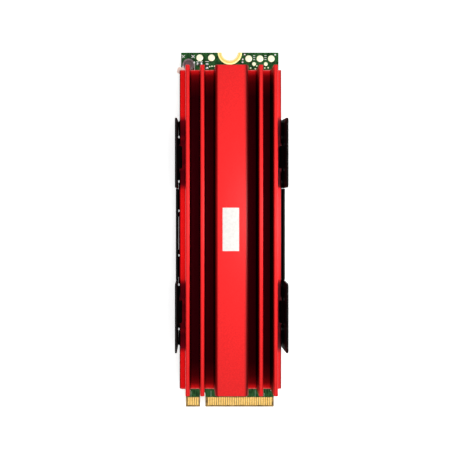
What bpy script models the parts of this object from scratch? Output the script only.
"""An M.2 2280 solid state drive under a finned heatsink, held together by a sprung sheet-metal clip.

Lengths below are in millimetres and are scaled to metres as each mesh is made. +Z points out of
the fins, +Y towards the mounting notch and -Y towards the card edge. The origin lies on the flat
underside of the clip's tray, in the middle of the drive's outline.
"""

import math

import bmesh
import bpy
from mathutils import Vector

MM = 0.001
SMOOTH_ANGLE = math.radians(35)
GAP = 0.05  # air between stacked pieces

# Circuit board: the M.2 2280 outline, with the key notch M
BOARD_WIDTH = 22.0
BOARD_LENGTH = 80.0
BOARD_THICKNESS = 0.8
TONGUE_WIDTH = 19.85
TONGUE_LENGTH = 4.0
KEY_X = -6.125
KEY_RADIUS = 0.6
KEY_DEPTH = 3.5
TONGUE_BEVEL_LENGTH = 0.45
TONGUE_BEVEL_DEPTH = 0.15
PLATING = 0.05
PLATING_GAP = 0.02
NOTCH_RADIUS = 1.75
NOTCH_PAD_RADIUS = 2.75

# Contacts of the card edge, in the pitch and the numbering of the M key
CONTACT_PITCH = 0.5
CONTACT_WIDTH = 0.35
CONTACT_START = -39.5
CONTACT_END = -37.95
CONTACT_BAR = 0.2
TOP_FIRST_CONTACT = 9.25
BOTTOM_FIRST_CONTACT = 9.0
CONTACTS_BEFORE_KEY = 29
CONTACTS_KEYED = 4

# Stack, from the tray's underside up
SHEET = 0.4
PAD_BOTTOM_THICKNESS = 0.55
CHIP_HEIGHT = 1.15
PAD_TOP_THICKNESS = 0.45
HEATSINK_BASE = 1.2
FIN_TOP_Z = 11.15

PAD_BOTTOM_Z = SHEET + GAP
CHIP_BOTTOM_Z = PAD_BOTTOM_Z + PAD_BOTTOM_THICKNESS + GAP
BOARD_Z = CHIP_BOTTOM_Z + CHIP_HEIGHT + GAP
BOARD_TOP_Z = BOARD_Z + BOARD_THICKNESS
PARTS_Z = BOARD_TOP_Z + GAP
PARTS_UNDER_Z = BOARD_Z - GAP
TOP_CHIP_HEIGHT = 1.1
PAD_TOP_Z = PARTS_Z + TOP_CHIP_HEIGHT + GAP
HEATSINK_Z = PAD_TOP_Z + PAD_TOP_THICKNESS + GAP
LEDGE_Z = HEATSINK_Z + HEATSINK_BASE

# Heatsink: one extrusion along Y with four fins and a broad middle rib
HEATSINK_WIDTH = 22.5
HEATSINK_LENGTH = 70.5
HEATSINK_Y = 0.2
FIN_CENTRES = (9.38, 6.24)
FIN_FOOT = 1.06
FIN_TOP = 0.94
FIN_EDGE = 0.3
RIB_FOOT = 7.2
RIB_TOP = 7.1
RIB_EDGE = 0.7
ROOT_FILLET = 0.25
LEDGE_EDGE = 0.25
ARC_STEPS = 4

# Clip: a tray with two low middle walls, and four sprung latches that hook over the ledges
CLIP_Y = -0.9
CLIP_HALF_WIDTH = 12.1
TRAY_HALF_LENGTH = 25.85
MIDDLE_HALF_LENGTH = 10.15
MIDDLE_WALL_Z = 5.55
BEND_RADIUS = 0.4
RELIEF_RADIUS = 0.28
RELIEF_FROM_HOOK = 5.13
SLOT_LENGTH = 7.6
SLOT_WIDTH = 0.16
HOOK_PITCH = 17.0
LATCH_INNER = 10.25
LATCH_OUTER_FOOT = 25.85
LATCH_OUTER_TOP = 25.15
LATCH_TOP_Z = 10.9
LATCH_CORNER = 0.8
HOOK_LENGTH = 5.0
HOOK_REACH = 1.4
HOOK_TOP_Z = 7.4
WINDOW_LOW_Z = 5.6
WINDOW_SLOT = 0.55
HINGE_Z = SHEET / 2
HOOK_TIP = 0.25
HOOK_FOOT = 0.35
HOOK_OVERLAP = 0.2
SHEET_OVERLAP = 0.02
CUT_CLEARANCE = 0.3
CUT_OFFSET = 0.04

# Plain label in the middle of the rib
LABEL_WIDTH = 3.5
LABEL_LENGTH = 9.2
LABEL_THICKNESS = 0.1
LABEL_X = -0.2
LABEL_Y = 0.45

# Block-shaped parts: name, centre, size in X and Y, height and corner radius
TOP_CHIPS = (
    ("controller_chip", (0.0, -19.5), (12.0, 12.0), TOP_CHIP_HEIGHT, 0.2),
    ("dram_chip", (0.0, -8.0), (11.0, 7.5), TOP_CHIP_HEIGHT, 0.2),
    ("nand_chip_top_a", (0.0, 4.5), (18.0, 12.0), TOP_CHIP_HEIGHT, 0.2),
    ("nand_chip_top_b", (0.0, 18.5), (18.0, 12.0), TOP_CHIP_HEIGHT, 0.2),
    ("power_chip", (-5.5, 30.0), (5.0, 5.0), 0.9, 0.1),
)
BOTTOM_CHIPS = (
    ("nand_chip_bottom_a", (0.0, 3.0), (18.0, 12.0), CHIP_HEIGHT, 0.2),
    ("nand_chip_bottom_b", (0.0, 17.0), (18.0, 12.0), CHIP_HEIGHT, 0.2),
    ("regulator_chip", (5.6, 31.2), (3.0, 3.0), 0.8, 0.1),
    ("settings_chip", (-6.6, -31.0), (2.0, 3.0), 0.7, 0.1),
)
TOP_COILS = (
    ("coil_a", (0.6, 31.6), (2.5, 2.0), 1.0, 0.15),
    ("coil_b", (0.6, 28.4), (2.5, 2.0), 1.0, 0.15),
)
BOTTOM_BULK = (
    ("bulk_capacitor_a", (-6.4, 31.2), (3.5, 2.8), 1.1, 0.15),
    ("bulk_capacitor_b", (-1.4, 31.2), (3.5, 2.8), 1.1, 0.15),
)
CRYSTAL = ("clock_crystal", (8.4, -18.6), (2.5, 3.2), 0.7, 0.3)

# Ceramic chip parts: centre, whether the part lies along X, and whether it is on the board's top
CAPACITORS = (
    ((-6.85, 37.4), True, True),
    ((8.2, -22.6), True, True),
    ((8.2, -24.2), True, True),
    ((-8.2, -15.2), True, True),
    ((-8.2, -16.8), True, True),
    ((-4.0, -32.6), False, True),
    ((-2.6, -32.6), False, True),
    ((2.6, -32.6), False, True),
    ((4.0, -31.0), False, False),
    ((5.3, -31.0), False, False),
    ((6.6, -31.0), False, False),
    ((7.9, -31.0), False, False),
)
RESISTORS = (
    ((-5.15, 36.9), False, True),
    ((-8.2, -22.4), True, True),
    ((4.0, -32.6), False, True),
    ((7.6, -8.0), False, True),
    ((-3.2, -31.0), False, False),
    ((-1.9, -31.0), False, False),
)
CAPACITOR_HEIGHT = 0.5
RESISTOR_HEIGHT = 0.35
CHIP_PART_LENGTH = 1.0
CHIP_PART_WIDTH = 0.5
CHIP_PART_END = 0.25
CHIP_PART_STEP = 0.03

# Round power inductor at the mounting end
DRUM_CENTRE = (-9.3, 37.05)
DRUM_RADIUS = 1.35
DRUM_HEIGHT = 1.0
DRUM_EDGE = 0.15
DRUM_RIM = 0.35
DRUM_SINK = 0.12

# Round pads at the board's mounting end: centre, radius
TEST_PADS = (
    ((-6.8, 38.8), 0.78),
    ((-4.15, 38.8), 0.78),
    ((4.25, 38.6), 0.78),
    ((6.8, 38.6), 0.78),
    ((9.35, 38.6), 0.78),
    ((5.45, 37.4), 0.46),
    ((8.1, 37.4), 0.46),
)


def clear_scene():
    for obj in list(bpy.data.objects):
        bpy.data.objects.remove(obj)


def material(name, colour, roughness, metallic=0.0):
    made = bpy.data.materials.new(name)
    made.use_nodes = True
    shader = made.node_tree.nodes["Principled BSDF"]
    shader.inputs["Base Color"].default_value = (*colour, 1.0)
    shader.inputs["Roughness"].default_value = roughness
    shader.inputs["Metallic"].default_value = metallic
    made.diffuse_color = (*colour, 1.0)
    return made


def arc(centre, radius, start, end, steps=ARC_STEPS):
    """Points of an arc, from the angle start to the angle end in degrees, both ends included."""
    angles = [math.radians(start + (end - start) * i / steps) for i in range(steps + 1)]
    return [(centre[0] + radius * math.cos(a), centre[1] + radius * math.sin(a)) for a in angles]


def rounded(corners, steps=ARC_STEPS):
    """An outline whose corners, each (x, y, radius), are turned into arcs."""
    points = []
    before = corners[-1:] + corners[:-1]
    after = corners[1:] + corners[:1]
    for (x0, y0, _), (x1, y1, radius), (x2, y2, _) in zip(before, corners, after):
        corner = Vector((x1, y1))
        if radius == 0:
            points.append((x1, y1))
            continue
        back = (Vector((x0, y0)) - corner).normalized()
        onward = (Vector((x2, y2)) - corner).normalized()
        half = back.angle(onward) / 2
        centre = corner + (back + onward).normalized() * radius / math.sin(half)
        first = corner + back * radius / math.tan(half) - centre
        last = corner + onward * radius / math.tan(half) - centre
        start = math.atan2(first.y, first.x)
        turn = (math.atan2(last.y, last.x) - start + math.pi) % (2 * math.pi) - math.pi
        points += arc(centre, radius, math.degrees(start), math.degrees(start + turn), steps)
    return points


def rectangle(centre, size, radius=0.0):
    x, y = centre
    half_x, half_y = size[0] / 2, size[1] / 2
    return rounded(
        [
            (x - half_x, y - half_y, radius),
            (x + half_x, y - half_y, radius),
            (x + half_x, y + half_y, radius),
            (x - half_x, y + half_y, radius),
        ]
    )


def swept(points, along):
    """The closed solid that a flat outline, as points in space, makes on its way along a vector."""
    mesh = bmesh.new()
    face = mesh.faces.new([mesh.verts.new(point) for point in points])
    made = bmesh.ops.extrude_face_region(mesh, geom=[face])
    moved = [item for item in made["geom"] if isinstance(item, bmesh.types.BMVert)]
    bmesh.ops.translate(mesh, verts=moved, vec=along)
    bmesh.ops.recalc_face_normals(mesh, faces=mesh.faces)
    return mesh


def plate(outline, low, high):
    """A flat plate whose outline lies in XY, between two heights."""
    return swept([(x, y, low) for x, y in outline], (0, 0, high - low))


def bar(profile, start, end):
    """A bar whose profile lies in XZ, between two places along Y."""
    return swept([(x, start, z) for x, z in profile], (0, end - start, 0))


def as_object(name, mesh, finish, origin=(0.0, 0.0, 0.0)):
    """A named object from a mesh in millimetres, with its origin at a point of the drive."""
    bmesh.ops.translate(mesh, verts=mesh.verts, vec=-Vector(origin))
    bmesh.ops.scale(mesh, verts=mesh.verts, vec=(MM, MM, MM))
    data = bpy.data.meshes.new(name)
    mesh.to_mesh(data)
    mesh.free()
    data.shade_smooth()
    data.set_sharp_from_angle(angle=SMOOTH_ANGLE)
    obj = bpy.data.objects.new(name, data)
    obj.location = Vector(origin) * MM
    if finish:
        data.materials.append(finish)
    bpy.context.scene.collection.objects.link(obj)
    return obj


def combine(obj, helper, operation):
    """Joins a helper shape to an object, or cuts it out, and keeps the helper out of the model."""
    helper.hide_render = True
    helper.display_type = "WIRE"
    modifier = obj.modifiers.new(helper.name, "BOOLEAN")
    modifier.operation = operation
    modifier.object = helper


def make_board(finish):
    half_width = BOARD_WIDTH / 2
    half_tongue = TONGUE_WIDTH / 2
    front = -BOARD_LENGTH / 2
    back = BOARD_LENGTH / 2
    shoulder = front + TONGUE_LENGTH
    key_centre = (KEY_X, front + KEY_DEPTH - KEY_RADIUS)
    barrel_radius = NOTCH_RADIUS + PLATING + PLATING_GAP
    outline = [(-half_width, shoulder), (-half_tongue, shoulder), (-half_tongue, front)]
    outline.append((KEY_X - KEY_RADIUS, front))
    outline += arc(key_centre, KEY_RADIUS, 180, 0, 12)
    outline.append((KEY_X + KEY_RADIUS, front))
    outline += [(half_tongue, front), (half_tongue, shoulder), (half_width, shoulder)]
    outline.append((half_width, back))
    outline += arc((0, back), barrel_radius, 0, -180, 24)
    outline.append((-half_width, back))
    mesh = plate(outline, BOARD_Z, BOARD_TOP_Z)
    bevel_start = front + TONGUE_BEVEL_LENGTH
    bmesh.ops.bisect_plane(
        mesh, geom=mesh.verts[:] + mesh.edges[:] + mesh.faces[:],
        plane_co=(0, bevel_start, 0), plane_no=(0, 1, 0),
    )
    middle = (BOARD_Z + BOARD_TOP_Z) / 2
    for vert in mesh.verts:
        past = max(0.0, bevel_start - vert.co.y) / TONGUE_BEVEL_LENGTH
        vert.co.z -= math.copysign(past * TONGUE_BEVEL_DEPTH, vert.co.z - middle)
    as_object("circuit_board", mesh, finish)


def make_mounting_ring(finish):
    """The plated half barrel of the mounting notch, with a flange on each face of the board."""
    top = BOARD_TOP_Z + PLATING_GAP
    bottom = BOARD_Z - PLATING_GAP
    barrel = NOTCH_RADIUS + PLATING
    profile = [
        (NOTCH_RADIUS, top + PLATING),
        (NOTCH_PAD_RADIUS, top + PLATING),
        (NOTCH_PAD_RADIUS, top),
        (barrel, top),
        (barrel, bottom),
        (NOTCH_PAD_RADIUS, bottom),
        (NOTCH_PAD_RADIUS, bottom - PLATING),
        (NOTCH_RADIUS, bottom - PLATING),
    ]
    centre_y = BOARD_LENGTH / 2
    mesh = bmesh.new()
    face = mesh.faces.new([mesh.verts.new((r, centre_y, z)) for r, z in profile])
    bmesh.ops.spin(
        mesh, geom=[face, *face.edges, *face.verts],
        cent=(0, centre_y, 0), axis=(0, 0, 1), angle=-math.pi, steps=24,
    )
    bmesh.ops.recalc_face_normals(mesh, faces=mesh.faces)
    as_object("mounting_ring", mesh, finish)


def make_contacts(name, first_x, count, low, finish):
    """A row of contacts running to -X from first_x, joined by the bar that plates them."""
    half = CONTACT_WIDTH / 2
    last_x = first_x - (count - 1) * CONTACT_PITCH
    outline = [(last_x - half, CONTACT_END + CONTACT_BAR)]
    for index in range(count):
        x = last_x + index * CONTACT_PITCH
        outline += [
            (x - half, CONTACT_END), (x - half, CONTACT_START),
            (x + half, CONTACT_START), (x + half, CONTACT_END),
        ]
    outline.append((first_x + half, CONTACT_END + CONTACT_BAR))
    as_object(name, plate(outline, low, low + PLATING), finish)


def make_all_contacts(finish):
    sides = (
        ("top", TOP_FIRST_CONTACT, 5, BOARD_TOP_Z + PLATING_GAP),
        ("bottom", BOTTOM_FIRST_CONTACT, 4, BOARD_Z - PLATING_GAP - PLATING),
    )
    for side, first_x, count_after_key, low in sides:
        after_key_x = first_x - (CONTACTS_BEFORE_KEY + CONTACTS_KEYED) * CONTACT_PITCH
        make_contacts(f"contacts_{side}_long", first_x, CONTACTS_BEFORE_KEY, low, finish)
        make_contacts(f"contacts_{side}_short", after_key_x, count_after_key, low, finish)


def make_block(block, on_top, finish):
    """A chip, a coil or another part that is a plain block, seated on one face of the board."""
    name, centre, size, height, radius = block
    low = PARTS_Z if on_top else PARTS_UNDER_Z - height
    as_object(name, plate(rectangle(centre, size, radius), low, low + height), finish)


def make_chip_part(name, centre, along_x, on_top, height, finish):
    """A ceramic chip part: a block whose two plated ends stand a little higher than its body."""
    half = CHIP_PART_LENGTH / 2
    inner = half - CHIP_PART_END
    seat = PARTS_Z if on_top else PARTS_UNDER_Z
    away = 1 if on_top else -1
    top = seat + away * height
    low = top - away * CHIP_PART_STEP
    profile = [
        (-half, seat), (half, seat), (half, top), (inner, top), (inner, low),
        (-inner, low), (-inner, top), (-half, top),
    ]
    x, y = centre
    side = CHIP_PART_WIDTH / 2
    if along_x:
        mesh = swept([(x + a, y - side, z) for a, z in profile], (0, CHIP_PART_WIDTH, 0))
    else:
        mesh = swept([(x - side, y + a, z) for a, z in profile], (CHIP_PART_WIDTH, 0, 0))
    as_object(name, mesh, finish)


def make_chip_parts(kind, places, height, finish):
    for index, (centre, along_x, on_top) in enumerate(places, 1):
        make_chip_part(f"{kind}_{index}", centre, along_x, on_top, height, finish)


def make_power_inductor(finish):
    """The round drum at the mounting end: a ferrite drum whose rim stands round a sunken top."""
    radius, height, edge = DRUM_RADIUS, DRUM_HEIGHT, DRUM_EDGE
    floor_radius = radius - DRUM_RIM - DRUM_SINK
    profile = [
        (0.0, 0.0), (radius - edge, 0.0), (radius, edge), (radius, height - edge),
        (radius - edge, height), (radius - DRUM_RIM, height), (floor_radius, height - DRUM_SINK),
        (0.0, height - DRUM_SINK),
    ]
    centre = Vector((*DRUM_CENTRE, PARTS_Z))
    mesh = bmesh.new()
    verts = [mesh.verts.new(centre + Vector((r, 0, z))) for r, z in profile]
    edges = [mesh.edges.new(pair) for pair in zip(verts, verts[1:])]
    bmesh.ops.spin(
        mesh, geom=verts + edges, cent=centre, axis=(0, 0, 1), angle=2 * math.pi, steps=24,
        use_merge=True,
    )
    bmesh.ops.remove_doubles(mesh, verts=mesh.verts, dist=0.001)
    bmesh.ops.recalc_face_normals(mesh, faces=mesh.faces)
    as_object("power_inductor", mesh, finish)


def make_test_pads(finish):
    low = BOARD_TOP_Z + PLATING_GAP
    for index, (centre, radius) in enumerate(TEST_PADS, 1):
        outline = arc(centre, radius, 0, 360, 20)[:-1]
        as_object(f"test_pad_{index}", plate(outline, low, low + PLATING), finish)


def make_thermal_pads(finish):
    """Soft pads above and below; the upper one's corner squeezes out past the heatsink."""
    end = HEATSINK_Y + HEATSINK_LENGTH / 2
    outline = rounded(
        [
            (-10.4, -34.0, 0.3), (10.4, -34.0, 0.3), (10.4, 35.0, 0.3), (-7.9, 35.0, 0.0),
            (-8.1, end - 0.1, 0.0), (-9.8, end, 0.0), (-10.3, end + 0.9, 0.2),
            (-11.8, end + 1.0, 0.4), (-12.0, end - 0.3, 0.4), (-11.0, end - 0.8, 0.0),
            (-10.4, end - 2.2, 0.0),
        ]
    )
    as_object("thermal_pad_top", plate(outline, PAD_TOP_Z, PAD_TOP_Z + PAD_TOP_THICKNESS), finish)
    lower = rectangle((0.0, CLIP_Y), (20.6, 50.0), 0.3)
    mesh = plate(lower, PAD_BOTTOM_Z, PAD_BOTTOM_Z + PAD_BOTTOM_THICKNESS)
    as_object("thermal_pad_bottom", mesh, finish)


def ridge(centre, foot, top, edge):
    """A rib of the heatsink's profile from its +X foot over its top to its -X foot."""
    foot_x, top_x = foot / 2, top / 2
    right = arc((centre + foot_x + ROOT_FILLET, LEDGE_Z + ROOT_FILLET), ROOT_FILLET, 270, 180)
    right += arc((centre + top_x - edge, FIN_TOP_Z - edge), edge, 0, 90)
    left = [(2 * centre - x, z) for x, z in reversed(right)]
    return right + left


def make_heatsink(finish):
    half = HEATSINK_WIDTH / 2
    edge = arc((half - LEDGE_EDGE, LEDGE_Z - LEDGE_EDGE), LEDGE_EDGE, 0, 90)
    profile = [(half, HEATSINK_Z), *edge]
    for centre in FIN_CENTRES:
        profile += ridge(centre, FIN_FOOT, FIN_TOP, FIN_EDGE)
    profile += ridge(0.0, RIB_FOOT, RIB_TOP, RIB_EDGE)
    for centre in reversed(FIN_CENTRES):
        profile += ridge(-centre, FIN_FOOT, FIN_TOP, FIN_EDGE)
    profile += [(-x, z) for x, z in reversed(edge)]
    profile.append((-half, HEATSINK_Z))
    start = HEATSINK_Y - HEATSINK_LENGTH / 2
    as_object("heatsink", bar(profile, start, start + HEATSINK_LENGTH), finish)


def make_tray(finish):
    """The clip's floor with its middle walls, relieved by holes and a slot along each bend."""
    inner = CLIP_HALF_WIDTH - SHEET
    floor = rectangle((0.0, CLIP_Y), (2 * (inner - GAP), 2 * TRAY_HALF_LENGTH), 0.3)
    tray = as_object("clip_tray", plate(floor, 0.0, SHEET), finish)
    profile = rounded(
        [
            (-CLIP_HALF_WIDTH, 0.0, BEND_RADIUS), (CLIP_HALF_WIDTH, 0.0, BEND_RADIUS),
            (CLIP_HALF_WIDTH, MIDDLE_WALL_Z, 0.0), (inner, MIDDLE_WALL_Z, 0.0),
            (inner, SHEET, 0.0), (-inner, SHEET, 0.0),
            (-inner, MIDDLE_WALL_Z, 0.0), (-CLIP_HALF_WIDTH, MIDDLE_WALL_Z, 0.0),
        ]
    )
    start = CLIP_Y - MIDDLE_HALF_LENGTH
    walls = as_object("middle_walls", bar(profile, start, start + 2 * MIDDLE_HALF_LENGTH), None)
    combine(tray, walls, "UNION")
    for side in (-1, 1):
        bend_x = side * (inner - CUT_OFFSET)
        for segment in (-1, 0, 1):
            for end in (-1, 1):
                y = CLIP_Y + segment * HOOK_PITCH + end * RELIEF_FROM_HOOK
                circle = arc((bend_x, y), RELIEF_RADIUS, 0, 360, 12)[:-1]
                hole = plate(circle, -CUT_CLEARANCE, SHEET + CUT_CLEARANCE)
                combine(tray, as_object("relief_hole", hole, None), "DIFFERENCE")
        outline = rectangle((bend_x, CLIP_Y), (SLOT_WIDTH, SLOT_LENGTH))
        slot = plate(outline, -CUT_CLEARANCE, SHEET + CUT_CLEARANCE)
        combine(tray, as_object("bend_slot", slot, None), "DIFFERENCE")


def make_latch(name, side, end, finish):
    """A sprung latch: a tall plate that turns about its bend, with a hook lanced from it."""
    inner = CLIP_HALF_WIDTH - SHEET
    corners = [
        (LATCH_INNER, GAP, 0.0), (LATCH_OUTER_FOOT, GAP, 0.3),
        (LATCH_OUTER_TOP, LATCH_TOP_Z, LATCH_CORNER), (LATCH_INNER, LATCH_TOP_Z, LATCH_CORNER),
    ]
    outline = rounded(corners)
    hinge = (side * (CLIP_HALF_WIDTH - SHEET / 2), CLIP_Y + end * HOOK_PITCH, HINGE_Z)
    face = [(side * inner, CLIP_Y + end * s, z) for s, z in outline]
    latch = as_object(name, swept(face, (side * SHEET, 0, 0)), finish, hinge)

    half_window = HOOK_LENGTH / 2 + WINDOW_SLOT
    middle = CLIP_Y + end * HOOK_PITCH
    cut_x = side * (inner - CUT_CLEARANCE)
    window = [
        (cut_x, middle - half_window, WINDOW_LOW_Z), (cut_x, middle + half_window, WINDOW_LOW_Z),
        (cut_x, middle + half_window, HOOK_TOP_Z), (cut_x, middle - half_window, HOOK_TOP_Z),
    ]
    through = (side * (SHEET + 2 * CUT_CLEARANCE), 0, 0)
    cutter = as_object(f"{name}_window", swept(window, through), None)
    combine(latch, cutter, "DIFFERENCE")

    tip = CLIP_HALF_WIDTH - HOOK_REACH
    low = LEDGE_Z + GAP
    root = HOOK_TOP_Z + HOOK_OVERLAP
    profile = [
        (CLIP_HALF_WIDTH - SHEET_OVERLAP, root), (inner + SHEET_OVERLAP, root),
        (tip, low + HOOK_TIP), (tip, low), (tip + HOOK_FOOT, low),
    ]
    start = middle - HOOK_LENGTH / 2
    hook = bar([(side * x, z) for x, z in profile], start, start + HOOK_LENGTH)
    combine(latch, as_object(f"{name}_hook", hook, None), "UNION")


def make_label(finish):
    low = FIN_TOP_Z + PLATING_GAP
    outline = rectangle((LABEL_X, LABEL_Y), (LABEL_WIDTH, LABEL_LENGTH), 0.1)
    as_object("plain_label", plate(outline, low, low + LABEL_THICKNESS), finish)


def main():
    clear_scene()
    green = material("board_green", (0.012, 0.075, 0.022), 0.4)
    gold = material("contact_gold", (0.83, 0.55, 0.18), 0.3, 1.0)
    chip_black = material("chip_black", (0.02, 0.02, 0.022), 0.55)
    ceramic = material("capacitor_tan", (0.45, 0.3, 0.18), 0.5)
    resistive = material("resistor_black", (0.02, 0.02, 0.02), 0.45)
    ferrite = material("ferrite_grey", (0.12, 0.09, 0.1), 0.6)
    moulded = material("bulk_ochre", (0.55, 0.3, 0.06), 0.5)
    steel = material("crystal_steel", (0.7, 0.7, 0.7), 0.3, 1.0)
    solder = material("solder_pale", (0.85, 0.87, 0.72), 0.35, 0.6)
    silicone = material("pad_peach", (0.85, 0.62, 0.55), 0.85)
    anodised = material("anodised_red", (0.72, 0.01, 0.012), 0.35, 0.9)
    clip_black = material("clip_black", (0.008, 0.008, 0.009), 0.45)
    paper = material("label_white", (0.92, 0.91, 0.89), 0.6)

    make_board(green)
    make_mounting_ring(gold)
    make_all_contacts(gold)
    for on_top, blocks, finish in (
        (True, TOP_CHIPS, chip_black), (False, BOTTOM_CHIPS, chip_black), (True, TOP_COILS, ferrite),
        (False, BOTTOM_BULK, moulded), (True, [CRYSTAL], steel),
    ):
        for block in blocks:
            make_block(block, on_top, finish)
    make_chip_parts("capacitor", CAPACITORS, CAPACITOR_HEIGHT, ceramic)
    make_chip_parts("resistor", RESISTORS, RESISTOR_HEIGHT, resistive)
    make_power_inductor(ferrite)
    make_test_pads(solder)
    make_thermal_pads(silicone)
    make_heatsink(anodised)
    make_tray(clip_black)
    for side, side_name in ((-1, "left"), (1, "right")):
        for end, end_name in ((1, "notch_end"), (-1, "edge_end")):
            make_latch(f"latch_{side_name}_{end_name}", side, end, clip_black)
    make_label(paper)


main()
